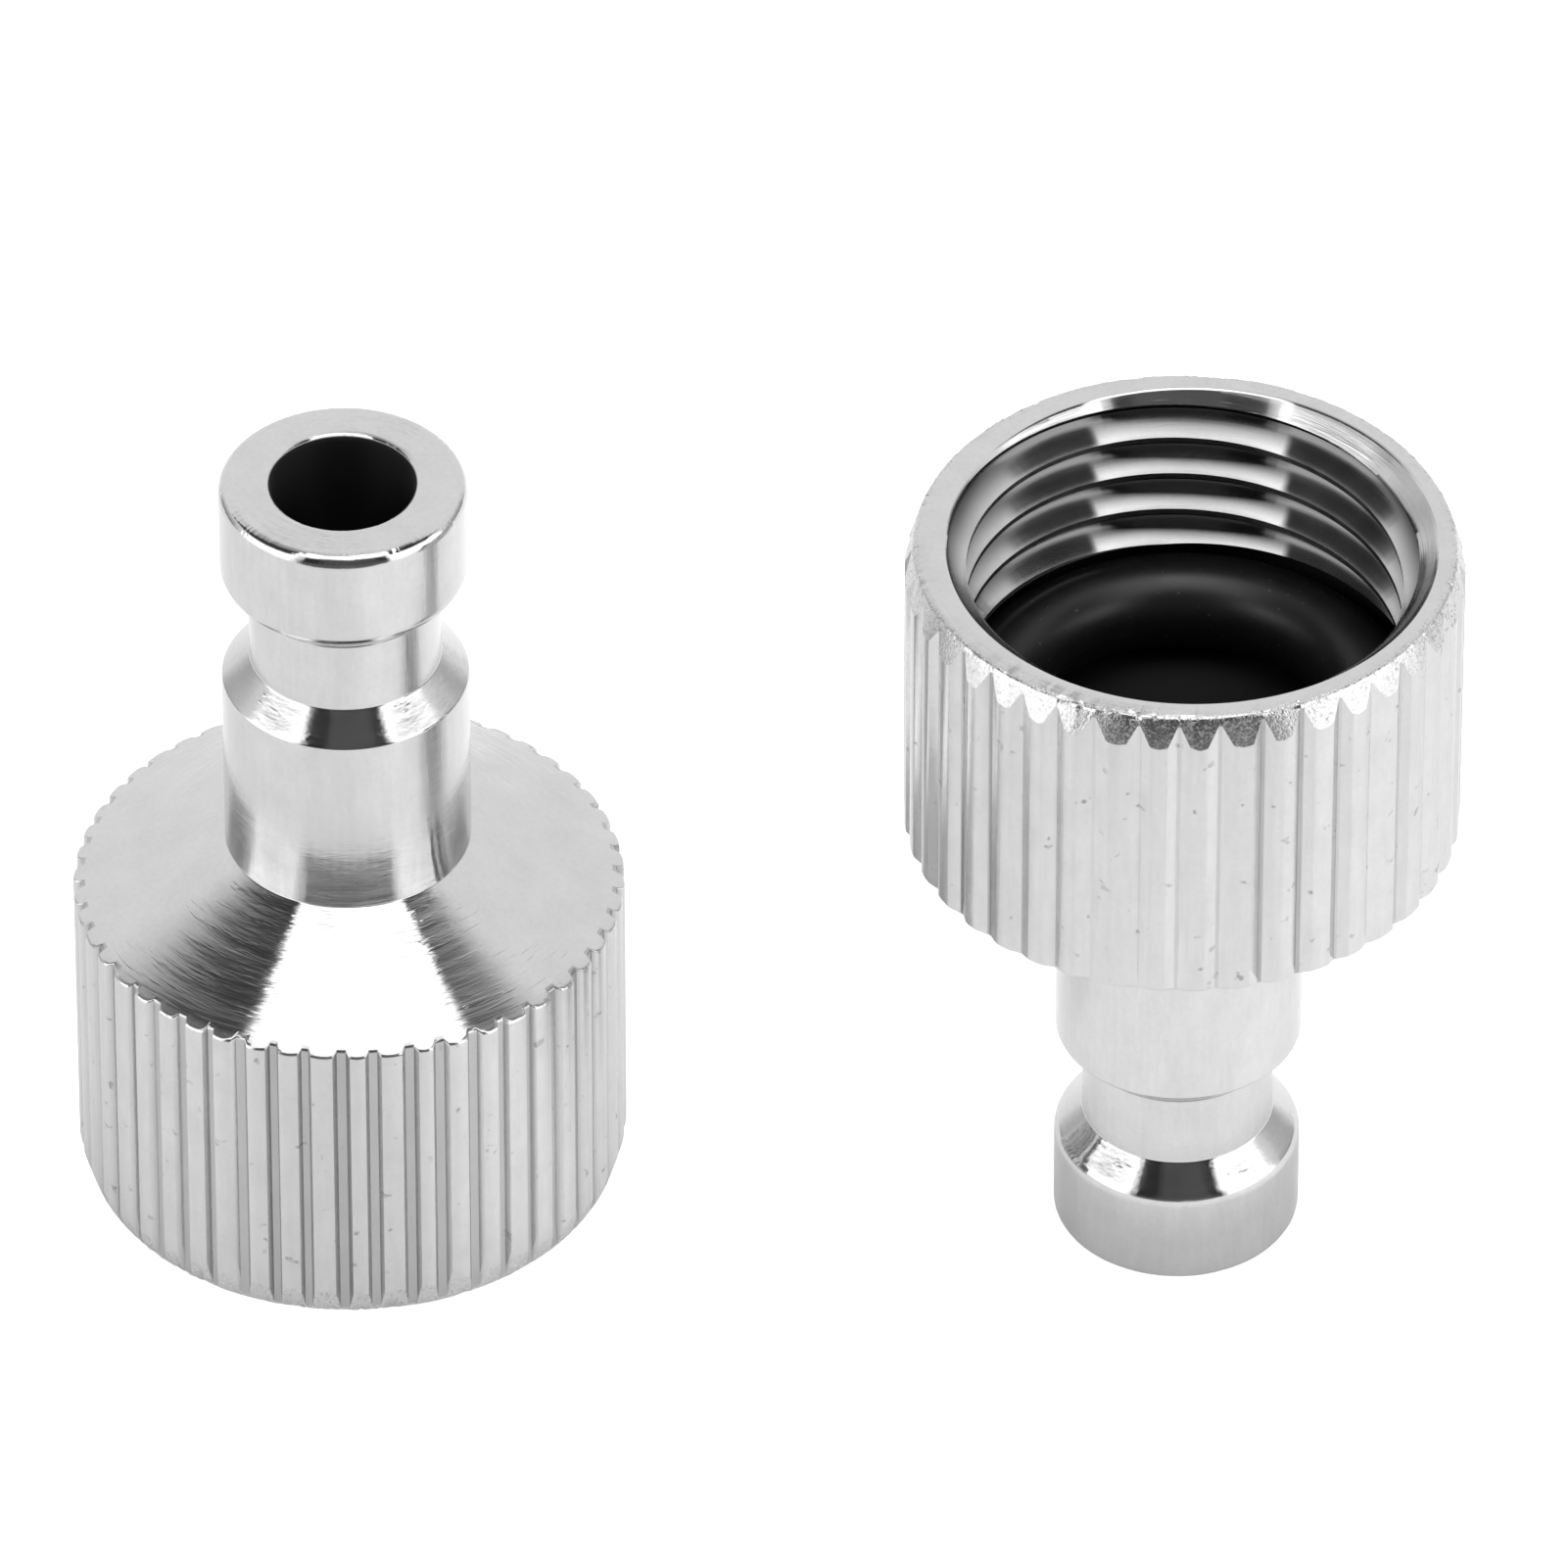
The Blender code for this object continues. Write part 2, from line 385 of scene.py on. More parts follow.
def plug_rows(first_groove):
    """Rows round the section of a plug: down its bore, out of its socket and up its outside."""
    cone_slope = (BARREL_FOOT - SKIRT_TOP) / (SKIRT_RADIUS - BARREL_RADIUS)
    chamfer_slope = RIM_CHAMFER_HEIGHT / (SKIRT_RADIUS - RIM_RADIUS)
    socket = [
        (BORE_RADIUS, BORE_MIDDLE),
        (BORE_RADIUS, SEAT, SEAT_EDGE_ROUND),
        (SEAT_RADIUS, SEAT, SEAT_CORNER_ROUND),
        (SEAT_RADIUS, THREAD_END + RUNOUT_HEIGHT, RELIEF_ROUND),
        (CREST_RADIUS, THREAD_END),
    ]
    # The socket's rows carry a mark for the painted shade on the seat
    rows = [Row(*point, inside=1.0, oily=1.0) for point in rounded(socket)[:-1]]

    # Rows of the thread climb a pitch in one turn, so they start outside the mouth and end past it
    groove_shares = [step / ROWS_A_GROOVE for step in range(ROWS_A_GROOVE)]
    shares = [0.0] + [CREST_SHARE + (1 - CREST_SHARE) * share for share in groove_shares]
    first_edge = CREST_EDGE_DEPTH + THREAD_PITCH * ((first_groove - CREST_EDGE_ANGLE) / TURN % 1 - 3)
    turns = int((THREAD_END - first_edge) / THREAD_PITCH) + 2
    heights = [first_edge + THREAD_PITCH * (turn + share) for turn in range(turns) for share in shares]
    rows += [Row(CREST_RADIUS, height, thread=1.0) for height in reversed(heights)]
    for step in range(1, ARC_STEPS + 1):
        lean = MOUTH_LEAN * (1 - step / ARC_STEPS)
        flare = MOUTH_ROUND * (sin(MOUTH_LEAN) - sin(lean))
        rows.append(Row(CREST_RADIUS, MOUTH_ROUND * (1 - cos(lean)), mouth=1.0, flare=flare))
    rows.append(Row(CREST_RADIUS, 0.0, mouth=1.0, flare=MOUTH_ROUND * sin(MOUTH_LEAN) + STRIP))

    rim = [
        (SEAT_RADIUS, 0.0),
        (RIM_RADIUS, 0.0, RIM_ROUND),
        (SKIRT_RADIUS, RIM_CHAMFER_HEIGHT),
    ]
    before_edge, *edge, after_edge = rounded(rim)[1:-1]
    rows.append(Row(*before_edge, scuff=RIM_FACE_SCUFF))
    rows += [Row(*point, nick=1.0, scuff=1.0) for point in edge]
    rows.append(Row(*after_edge, scuff=1.0))

    # The rows that bound the knurl slide along the chamfer or the cone as its grooves deepen
    below = dict(knurl=1.0, slide=-chamfer_slope)
    rows.append(Row(SKIRT_RADIUS, RIM_CHAMFER_HEIGHT, crease=1.0, scuff=CHAMFER_TOP_SCUFF, **below))
    rows.append(Row(SKIRT_RADIUS, RIM_CHAMFER_HEIGHT + STRIP, **below))
    for share in SKIRT_ROW_SHARES:
        height = RIM_CHAMFER_HEIGHT + share * (SKIRT_TOP - RIM_CHAMFER_HEIGHT)
        rows.append(Row(SKIRT_RADIUS, height, knurl=1.0))
    edge = [
        (SKIRT_RADIUS, SKIRT_TOP / 2),
        (SKIRT_RADIUS, SKIRT_TOP, SKIRT_EDGE_ROUND),
        (BARREL_RADIUS, BARREL_FOOT),
    ]
    rows += [Row(*point, knurl=1.0, slide=cone_slope) for point in rounded(edge)[1:-1]]
    # The cone is plain inside the groove ends
    for strips in CONE_STRIPS:
        inset = KNURL_DEPTH + strips * STRIP
        rows.append(Row(SKIRT_RADIUS - inset, SKIRT_TOP + inset * cone_slope))

    nose = [
        (SKIRT_RADIUS, SKIRT_TOP),
        (BARREL_RADIUS, BARREL_FOOT, BARREL_FOOT_ROUND),
        (BARREL_RADIUS, BARREL_TOP, BARREL_EDGE_ROUND),
        (NECK_RADIUS, NECK_FOOT, NECK_ROUND),
        (NECK_RADIUS, NECK_TOP, NECK_ROUND),
        (BARREL_RADIUS, COLLAR_FOOT, COLLAR_FOOT_ROUND),
        (BARREL_RADIUS, LENGTH, TIP_ROUND),
        (BORE_RADIUS, LENGTH, BORE_ROUND),
        (BORE_RADIUS, BORE_MIDDLE),
    ]
    tip_edge = LENGTH - TIP_ROUND
    for radius, height in rounded(nose)[1:-1]:
        on_tip = height > tip_edge - WELD and radius > BARREL_RADIUS - TIP_ROUND - WELD
        rows.append(Row(radius, height, nick=-TIP_NICK_SHARE if on_tip else 0.0))
    return rows


def row_mesh(name, rows):
    """A mesh of loose points, one for each row, with the rows' marks as attributes."""
    mesh = bpy.data.meshes.new(name)
    mesh.from_pydata([(row.radius, 0, row.height) for row in rows], [], [])
    for mark in ROW_MARKS:
        values = [getattr(row, mark) for row in rows]
        mesh.attributes.new(mark, "FLOAT", "POINT").data.foreach_set("value", values)
    return mesh


def plug_tree():
    """Turns a plug's rows round its axis, with the knurl on its skirt and the thread in its socket."""
    tree = bpy.data.node_groups.new("turned_plug", "GeometryNodeTree")
    tree.interface.new_socket("Geometry", in_out="INPUT", socket_type="NodeSocketGeometry")
    tree.interface.new_socket("Geometry", in_out="OUTPUT", socket_type="NodeSocketGeometry")
    for label in ("Grooves", "Land Steps", "Seed"):
        tree.interface.new_socket(label, in_out="INPUT", socket_type="NodeSocketInt")
    for label in (
        "First Groove",
        "Groove Width",
        "Floor Share",
        "Crown",
        "Knurl Depth",
        "Skirt Radius",
        "Width Scatter",
        "Depth Scatter",
        "Land Tilt",
        "Thread Pitch",
        "Thread Depth",
        "Crest Radius",
        "Crest Share",
        "Crest Edge Angle",
        "Crest Edge Depth",
        "Thread End",
        "Mouth Radius",
        "Mouth Offset",
        "Mouth Depth",
        "Nick Depth",
    ):
        tree.interface.new_socket(label, in_out="INPUT", socket_type="NodeSocketFloat")
    tree.interface.new_socket("Material", in_out="INPUT", socket_type="NodeSocketMaterial")
    given = Wire.add(tree, "NodeGroupInput")
    size = given.out
    section = size("Geometry")

    def scatter(groove, low, high, salt):
        sockets = {"ID": groove, "Seed": size("Seed") + salt}
        values = {2: low, 3: high}
        return Wire.add(tree, "FunctionNodeRandomValue", {"data_type": "FLOAT"}, {**values, **sockets}, 1)

    # A grid with one column for each line along the plug and one row for each point of its section
    row_count = Wire.add(tree, "GeometryNodeAttributeDomainSize", {"component": "MESH"}, {0: section})
    columns_a_groove = size("Land Steps") + COLUMNS_BESIDE_STEPS
    columns = size("Grooves") * columns_a_groove
    grid = Wire.add(
        tree,
        "GeometryNodeMeshGrid",
        {},
        {"Vertices X": columns + 1, "Vertices Y": row_count + 1},
    )
    index = Wire.add(tree, "GeometryNodeInputIndex")
    column = (index / (row_count + 1)).floor()
    row = (index - column * (row_count + 1)) % row_count

    def of_row(field, kind="FLOAT"):
        sockets = {"Geometry": section, "Value": field, "Index": row}
        return Wire.add(tree, "GeometryNodeSampleIndex", {"data_type": kind}, sockets)

    def mark(name):
        return of_row(Wire.add(tree, "GeometryNodeInputNamedAttribute", {}, {"Name": name}))

    place = of_row(Wire.add(tree, "GeometryNodeInputPosition"), "FLOAT_VECTOR")
    point = Wire.add(tree, "ShaderNodeSeparateXYZ", {}, {0: place})
    row_radius = point.out("X")
    row_height = point.out("Z")

    # Knurl: columns fall on the middle and edges of each groove floor, the groove edges and the land
    pitch = TURN / size("Grooves")
    groove = (column / columns_a_groove).floor()
    place_in_groove = column - groove * columns_a_groove
    this = groove % size("Grooves")
    following = (groove + 1) % size("Grooves")

    def half_width(which):
        spread = scatter(which, 1 - size("Width Scatter"), 1 + size("Width Scatter"), 0)
        return size("Groove Width") / size("Skirt Radius") / 2 * spread

    def centre(number, which):
        most = GROOVE_SHIFT * size("Width Scatter")
        shift = scatter(which, -1 * most, most, 1)
        return (number + shift) * pitch

    def floor_depth(which):
        return 1 - scatter(which, 0, size("Depth Scatter"), 2)

    half_here = half_width(this)
    half_ahead = half_width(following)
    land_start = centre(groove, this) + half_here
    land_end = centre(groove + 1, following) - half_ahead
    across = ((place_in_groove - COLUMNS_BEFORE_LAND) / size("Land Steps")).within(0, 1)
    behind = (COLUMNS_BEFORE_LAND - place_in_groove).within(0, COLUMNS_BEFORE_LAND)
    ahead = (place_in_groove - size("Land Steps") - COLUMNS_BEFORE_LAND).within(0, 1)
    floor_share = size("Floor Share")
    angle = across.blend(land_start, land_end)
    angle = angle - behind.least(1) * half_here * (1 - floor_share)
    angle = angle - (behind - 1).most(0) * half_here * floor_share
    angle = angle + ahead * half_ahead * (1 - floor_share)
    angle = angle + size("First Groove")

    off_middle = 2 * across - 1
    tilt = scatter(this, -1 * size("Land Tilt"), size("Land Tilt"), 3)
    land_drop = size("Crown") * off_middle * off_middle + (tilt * off_middle).most(0)
    floor_drop = behind.least(1) * floor_depth(this) + ahead * floor_depth(following)
    drop = land_drop.most(size("Knurl Depth") * floor_drop) * mark("knurl")

    # Thread: rows climb with the angle and stop at the ends, and the groove is cut between crests
    threaded = mark("thread")
    in_socket = threaded.most(mark("mouth"))
    climb = size("Thread Pitch") / TURN * (angle - size("First Groove"))
    climbed = (row_height + climb).within(size("Mouth Depth"), size("Thread End"))
    height = threaded.blend(row_height, climbed)
    read_at = height.most(size("Mouth Depth"))
    turns = (read_at - size("Crest Edge Depth")) / size("Thread Pitch")
    crest_half = size("Crest Share") / 2
    turns = turns - (angle - size("Crest Edge Angle")) / TURN - crest_half
    off_crest = ((turns + 0.5) % 1 - 0.5).math("ABSOLUTE")
    rise = ((off_crest - crest_half) / (0.5 - crest_half)).within(0, 1)
    cut = (rise * FLANK_STEEPNESS).math("SMOOTH_MIN", 1, ROOT_ROUND)
    thread_radius = size("Crest Radius") + size("Thread Depth") * cut
    mouth_radius = size("Mouth Radius") + size("Mouth Offset") * angle.math("COSINE") - read_at
    socket_radius = thread_radius.most(mouth_radius) + mark("flare")
    chamfered = mouth_radius.math("GREATER_THAN", thread_radius)

    # Nicks break the outer edge of the rim in some stretches
    round_rim = Wire.add(
        tree, "ShaderNodeCombineXYZ", {}, {0: angle.math("COSINE"), 1: angle.math("SINE")}
    )
    worn = noise(tree, round_rim, NICKED_STRETCHES, detail=3.0).step(*NICKED_EDGE)
    nick = scatter(column % columns, 0, size("Nick Depth"), 4) * worn * mark("nick")

    radius = in_socket.blend(row_radius, socket_radius) - drop - nick.math("ABSOLUTE") * NICK_SLANT
    height = height + drop * mark("slide") + nick
    spun = {
        "X": radius * angle.math("COSINE"),
        "Y": radius * angle.math("SINE"),
        "Z": height,
    }
    position = Wire.add(tree, "ShaderNodeCombineXYZ", {}, spun)

    # The marks that the finish reads are kept before the points move
    kept = {
        "knurled": mark("knurl"),
        "groove": drop / size("Knurl Depth"),
        "inside": in_socket.most(mark("inside")) * (1 - CHAMFER_SHINE * chamfered),
        "crest": threaded * off_crest.math("LESS_THAN", crest_half + CREST_MARGIN),
        "scuff": mark("scuff"),
        "oily": mark("oily"),
        "crease": mark("crease"),
    }
    shape = grid
    for name, value in kept.items():
        shape = Wire.add(
            tree, "GeometryNodeStoreNamedAttribute", {}, {"Geometry": shape, "Name": name, "Value": value}
        )
    shape = Wire.add(tree, "GeometryNodeSetPosition", {}, {"Geometry": shape, "Position": position})
    shape = Wire.add(tree, "GeometryNodeMergeByDistance", {}, {"Geometry": shape, "Distance": WELD})
    shape = Wire.add(tree, "GeometryNodeSetShadeSmooth", {}, {"Geometry": shape, "Shade Smooth": True})
    edge_angle = Wire.add(tree, "GeometryNodeInputMeshEdgeAngle")
    creased = Wire.add(tree, "GeometryNodeInputNamedAttribute", {}, {"Name": "crease"})
    creased = creased.math("GREATER_THAN", CREASE_LIMIT)
    sharp = edge_angle.math("GREATER_THAN", SHARP_EDGE).most(creased)
    shape = Wire.add(
        tree,
        "GeometryNodeSetShadeSmooth",
        {"domain": "EDGE"},
        {"Geometry": shape, "Selection": sharp, "Shade Smooth": False},
    )
    shape = Wire.add(tree, "GeometryNodeRealizeInstances", {}, {"Geometry": shape})
    finish = {"Geometry": shape, "Material": size("Material")}
    shape = Wire.add(tree, "GeometryNodeSetMaterial", {}, finish)
    Wire.add(tree, "NodeGroupOutput", {}, {0: shape})
    return tree


def made_mesh(obj, tree, sizes):
    """The plain mesh that a node tree makes of an object, with its inputs set by identifier."""
    modifier = obj.modifiers.new(tree.name, "NODES")
    modifier.node_group = tree
    for item in tree.interface.items_tree:
        if item.in_out == "INPUT" and item.name in sizes:
            modifier[item.identifier] = sizes[item.name]
    graph = bpy.context.evaluated_depsgraph_get()
    mesh = bpy.data.meshes.new_from_object(obj.evaluated_get(graph))
    obj.modifiers.clear()
    return mesh


def plug_body(name, tree, knurl, place, material):
    """A turned plug with its own knurl, set in place."""
    obj = bpy.data.objects.new(name, row_mesh(name, plug_rows(knurl["First Groove"])))
    bpy.context.scene.collection.objects.link(obj)
    sizes = {
        "Knurl Depth": KNURL_DEPTH,
        "Skirt Radius": SKIRT_RADIUS,
        "Thread Pitch": THREAD_PITCH,
        "Thread Depth": THREAD_DEPTH,
        "Crest Radius": CREST_RADIUS,
        "Crest Share": CREST_SHARE,
        "Crest Edge Angle": CREST_EDGE_ANGLE,
        "Crest Edge Depth": CREST_EDGE_DEPTH,
        "Thread End": THREAD_END,
        "Mouth Radius": CREST_RADIUS + MOUTH_CHAMFER,
        "Mouth Offset": MOUTH_OFFSET,
        "Mouth Depth": MOUTH_DEPTH,
        "Nick Depth": NICK_DEPTH,
        "Material": material,
    }
    mesh = made_mesh(obj, tree, {**sizes, **knurl})
    mesh.transform(place)
    mesh.name = name
    obj.data = mesh
    return obj


def seal_ring(name, node, material):
    """A moulded ring: its cord has a thin flash along the inner and outer parting lines."""
    low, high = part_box(node)
    cord = (high.z - low.z) / 2
    centre_radius = (high.x - low.x) / 2 - cord
    section = []
    for step in range(CORD_STEPS):
        angle = TURN * step / CORD_STEPS
        off_parting = cord * asin(abs(sin(angle)))
        flash = FLASH_HEIGHT * max(0.0, 1 - off_parting / FLASH_WIDTH)
        radius = cord - FLASH_HEIGHT + flash
        section.append((centre_radius + radius * cos(angle), radius * sin(angle)))
    points = []
    faces = []
    for step in range(RING_STEPS):
        turn = TURN * step / RING_STEPS
        points += [(out * cos(turn), out * sin(turn), up) for out, up in section]
        here = step * CORD_STEPS
        ahead = (step + 1) % RING_STEPS * CORD_STEPS
        for low_side in range(CORD_STEPS):
            high_side = (low_side + 1) % CORD_STEPS
            faces.append((here + low_side, ahead + low_side, ahead + high_side, here + high_side))
    mesh = bpy.data.meshes.new(name)
    mesh.from_pydata(points, [], faces)
    mesh.transform(Matrix.Translation((low + high) / 2))
    mesh.shade_smooth()
    mesh.materials.append(material)
    obj = bpy.data.objects.new(name, mesh)
    bpy.context.scene.collection.objects.link(obj)
    return obj


def new_material(name):
    material = bpy.data.materials.new(name)
    material.use_nodes = True
    return material, material.node_tree, material.node_tree.nodes["Principled BSDF"]


def feed(shader, **sockets):
    """Links wires to the sockets of a shader, or sets their values."""
    for name, value in sockets.items():
        socket = shader.inputs[name.replace("_", " ")]
        if isinstance(value, Wire):
            value.tree.links.new(value.socket, socket)
        else:
            socket.default_value = value


def grey(level):
    """A colour without a tint."""
    return (level, level, level, 1)


def plug_place(tree, axis):
    """Place on a plug in millimetres: as a vector, height, distance from the axis and angle."""
    spot = Wire.add(tree, "ShaderNodeTexCoord", output="Object")
    settings = {"Location": (-axis.x / MM, -axis.y / MM, 0), "Scale": (1 / MM,) * 3}
    centred = Wire.add(tree, "ShaderNodeMapping", {}, {"Vector": spot, **settings})
    parts = Wire.add(tree, "ShaderNodeSeparateXYZ", {}, {0: centred})
    x = parts.out("X")
    y = parts.out("Y")
    out = (x * x + y * y).math("SQRT")
    return centred, parts.out("Z"), out, y.math("ARCTAN2", x)


def noise(tree, where, scale, detail, rough=0.5):
    """Noise over a wire that holds a vector."""
    sockets = {"Vector": where, "Scale": scale, "Detail": detail, "Roughness": rough}
    return Wire.add(tree, "ShaderNodeTexNoise", {}, sockets)


def piece_mark(tree, name):
    """An attribute that the plug's mesh carries."""
    return Wire.add(tree, "ShaderNodeAttribute", {"attribute_name": name}, output="Fac")


def nickel_plate(name, axis, groove_shade):
    """Bright nickel over turned brass: tool rings, drawn lines, pits, a scuffed rim and painted shade."""
    material, tree, shader = new_material(name)
    centred, height, out, angle = plug_place(tree, axis)
    knurled = piece_mark(tree, "knurled")
    groove = piece_mark(tree, "groove")
    inside = piece_mark(tree, "inside")
    scuff = piece_mark(tree, "scuff")

    # Rings left by the lathe tool, stronger in some patches than in others
    path = out + height * TOOL_LEAN
    patches = noise(tree, centred, PLATE_PATCHES, detail=3.0)
    wander = [angle.math(turn) * TOOL_WANDER for turn in ("COSINE", "SINE")]
    ring_place = Wire.add(tree, "ShaderNodeCombineXYZ", {}, {0: path, 1: wander[0], 2: wander[1]})
    fine_rings = noise(tree, ring_place, FINE_RINGS, detail=3.0, rough=0.6) - 0.5
    broad_rings = noise(tree, ring_place, BROAD_RINGS, detail=1.0) - 0.5
    scores = noise(tree, ring_place, SCORES, detail=2.0).step(*SCORE_EDGE) * patches
    rings = fine_rings * (FINE_RING_LEAST + FINE_RING_GAIN * patches)
    rings = rings + broad_rings * BROAD_RING_HEIGHT + scores * SCORE_HEIGHT

    # Lines drawn along the upright walls, with small pits in the plating of the knurl
    facing = Wire.add(tree, "ShaderNodeNewGeometry", output="Normal")
    facing_up = Wire.add(tree, "ShaderNodeSeparateXYZ", {}, {0: facing}).out("Z").math("ABSOLUTE")
    wall = 1 - facing_up.step(*WALL_EDGE)
    stretch = {"Vector": centred, "Scale": (1, 1, DRAWN_STRETCH)}
    drawn_place = Wire.add(tree, "ShaderNodeMapping", {}, stretch)
    drawn = (noise(tree, drawn_place, DRAWN_LINES, detail=4.0, rough=0.65) - 0.5) * wall
    pit_spots = noise(tree, centred, PITS, detail=2.0).step(*PIT_EDGE) * knurled

    # Scuffs on the edge and the chamfer of the rim, which are rough where they are worn most
    turned = (1 - WALL_POLISH * wall) * (1 - knurled) * (1 - SOCKET_POLISH * inside)
    scuffed = noise(tree, centred, SCUFFS, detail=3.0, rough=0.7)
    scuffs = (scuffed - 0.5) * scuff
    worn = scuffed.step(*WORN_EDGE) * scuff
    relief = rings * turned + drawn * DRAWN_HEIGHT - pit_spots + scuffs * SCUFF_HEIGHT
    bump = Wire.add(
        tree, "ShaderNodeBump", {}, {"Strength": 1.0, "Distance": MICRON, "Height": relief}
    )

    # Painted shade in the bore, on the seat and in the grooves, and a faint cloud over the plating
    bore_seat_shade = (1 - out.step(*BORE_SHADE_EDGE)).most(piece_mark(tree, "oily"))
    grain = noise(tree, centred, GRAIN, detail=3.0, rough=0.7) - 0.5
    cloud = (patches + drawn + grain * GRAIN_SHARE).within(0, 1)
    colour = cloud.tint(grey(PLATE_DARK), grey(PLATE_BRIGHT))
    # Painted shade darkens the knurl grooves; the same grey also darkens the real pits in the plating
    groove_shading = groove.step(groove_shade.start, groove_shade.full) * (GROOVE_SHADE_LEAST + GROOVE_SHADE_GAIN * patches) * groove_shade.share
    colour = groove_shading.most(pit_spots * PIT_SHARE).tint(colour, grey(PIT_AND_GROOVE_SHADE_GREY))
    # Painted shade darkens the plating towards the roots of the thread
    thread_root_shade = inside.step(*SOCKET_EDGE) * out.step(*ROOT_EDGE)
    colour = (thread_root_shade * ROOT_SHADE_SHARE).tint(colour, grey(ROOT_SHADE_GREY))
    # Painted shade: the bore and the seat are painted near black and are not metal
    colour = bore_seat_shade.tint(colour, grey(BORE_SEAT_SHADE_BLACK))
    roughness = PLATE_ROUGHNESS + patches * PATCH_ROUGHNESS + knurled * KNURL_ROUGHNESS
    roughness = roughness + pit_spots * PIT_ROUGHNESS + thread_root_shade * ROOT_ROUGHNESS
    roughness = roughness + piece_mark(tree, "crest") * CREST_ROUGHNESS
    roughness = roughness + worn * WORN_ROUGHNESS + bore_seat_shade * BORE_SEAT_SHADE_ROUGHNESS
    feed(shader, Base_Color=colour, Roughness=roughness, Metallic=1 - bore_seat_shade, Normal=bump)
    feed(shader, Anisotropic=1.0, Anisotropic_Rotation=STRETCH_TURN)
    feed(shader, Specular_IOR_Level=PLATE_SPECULAR)
    return material


def seal_rubber(name, axis):
    """Moulded black rubber with a satin skin, a little dust and a fine grain."""
    material, tree, shader = new_material(name)
    centred = plug_place(tree, axis)[0]
    cloud = noise(tree, centred, RUBBER_CLOUDS, detail=3.0)
    grain = noise(tree, centred, RUBBER_GRAIN, detail=2.0)
    dust = noise(tree, centred, DUST_SPOTS, detail=3.0, rough=0.6).step(*DUST_EDGE)
    height = {"Strength": RUBBER_GRAIN_STRENGTH, "Distance": RUBBER_GRAIN_HEIGHT, "Height": grain}
    bump = Wire.add(tree, "ShaderNodeBump", {}, height)
    colour = cloud.tint(grey(RUBBER_DARK), grey(RUBBER_PALE))
    colour = (dust * DUST_SHARE).tint(colour, DUST_COLOUR)
    roughness = RUBBER_ROUGHNESS + cloud * CLOUD_ROUGHNESS + dust * DUST_ROUGHNESS
    feed(shader, Base_Color=colour, Roughness=roughness, Normal=bump)
    feed(shader, Specular_IOR_Level=RUBBER_SPECULAR)
    return material


def pale_sheet(foot):
    """The white sheet under the plugs, which ends in front of them and glows with painted light.

    Its painted glow is brighter where the camera sees it, and in reflections it glows less on the
    left and close to the foot of the inverted plug, as painted shadow.
    """
    sheet = bmesh.new()
    bmesh.ops.create_grid(sheet, x_segments=2, y_segments=2, size=SHEET_HALF_SIZE)
    mesh = bpy.data.meshes.new("pale_sheet")
    sheet.to_mesh(mesh)
    sheet.free()
    mesh.transform(Matrix.Translation((0, SHEET_FRONT + SHEET_HALF_SIZE, 0)))
    material, tree, shader = new_material("pale_sheet")
    spot = Wire.add(tree, "ShaderNodeTexCoord", output="Object")
    fibres = noise(tree, spot, SHEET_FIBRES, detail=3.0)
    shade = fibres.tint(grey(SHEET_DARK), grey(SHEET_PALE))
    seen = Wire.add(tree, "ShaderNodeLightPath", output="Is Camera Ray")
    place = Wire.add(tree, "ShaderNodeSeparateXYZ", {}, {0: spot})
    along = place.out("X") - foot.x
    across = place.out("Y") - foot.y
    # Painted shadow: the glow drops close to the foot of the inverted plug and on the left
    clear = (along * along + across * across).math("SQRT").step(*FOOT_SHADE)
    painted_glow = clear.tint(grey(SHEET_GLOW_FOOT), grey(SHEET_GLOW_RIGHT))
    painted_glow = place.out("X").step(*GLOW_EDGE).tint(grey(SHEET_GLOW_LEFT), painted_glow)
    # Painted light: the camera sees the sheet glow brighter than reflections do
    painted_glow = seen.tint(painted_glow, grey(SHEET_GLOW_SEEN))
    feed(shader, Base_Color=shade, Roughness=SHEET_ROUGHNESS, Specular_IOR_Level=0.0)
    feed(shader, Emission_Color=painted_glow, Emission_Strength=1.0)
    mesh.materials.append(material)
    obj = bpy.data.objects.new("pale_sheet", mesh)
    bpy.context.scene.collection.objects.link(obj)


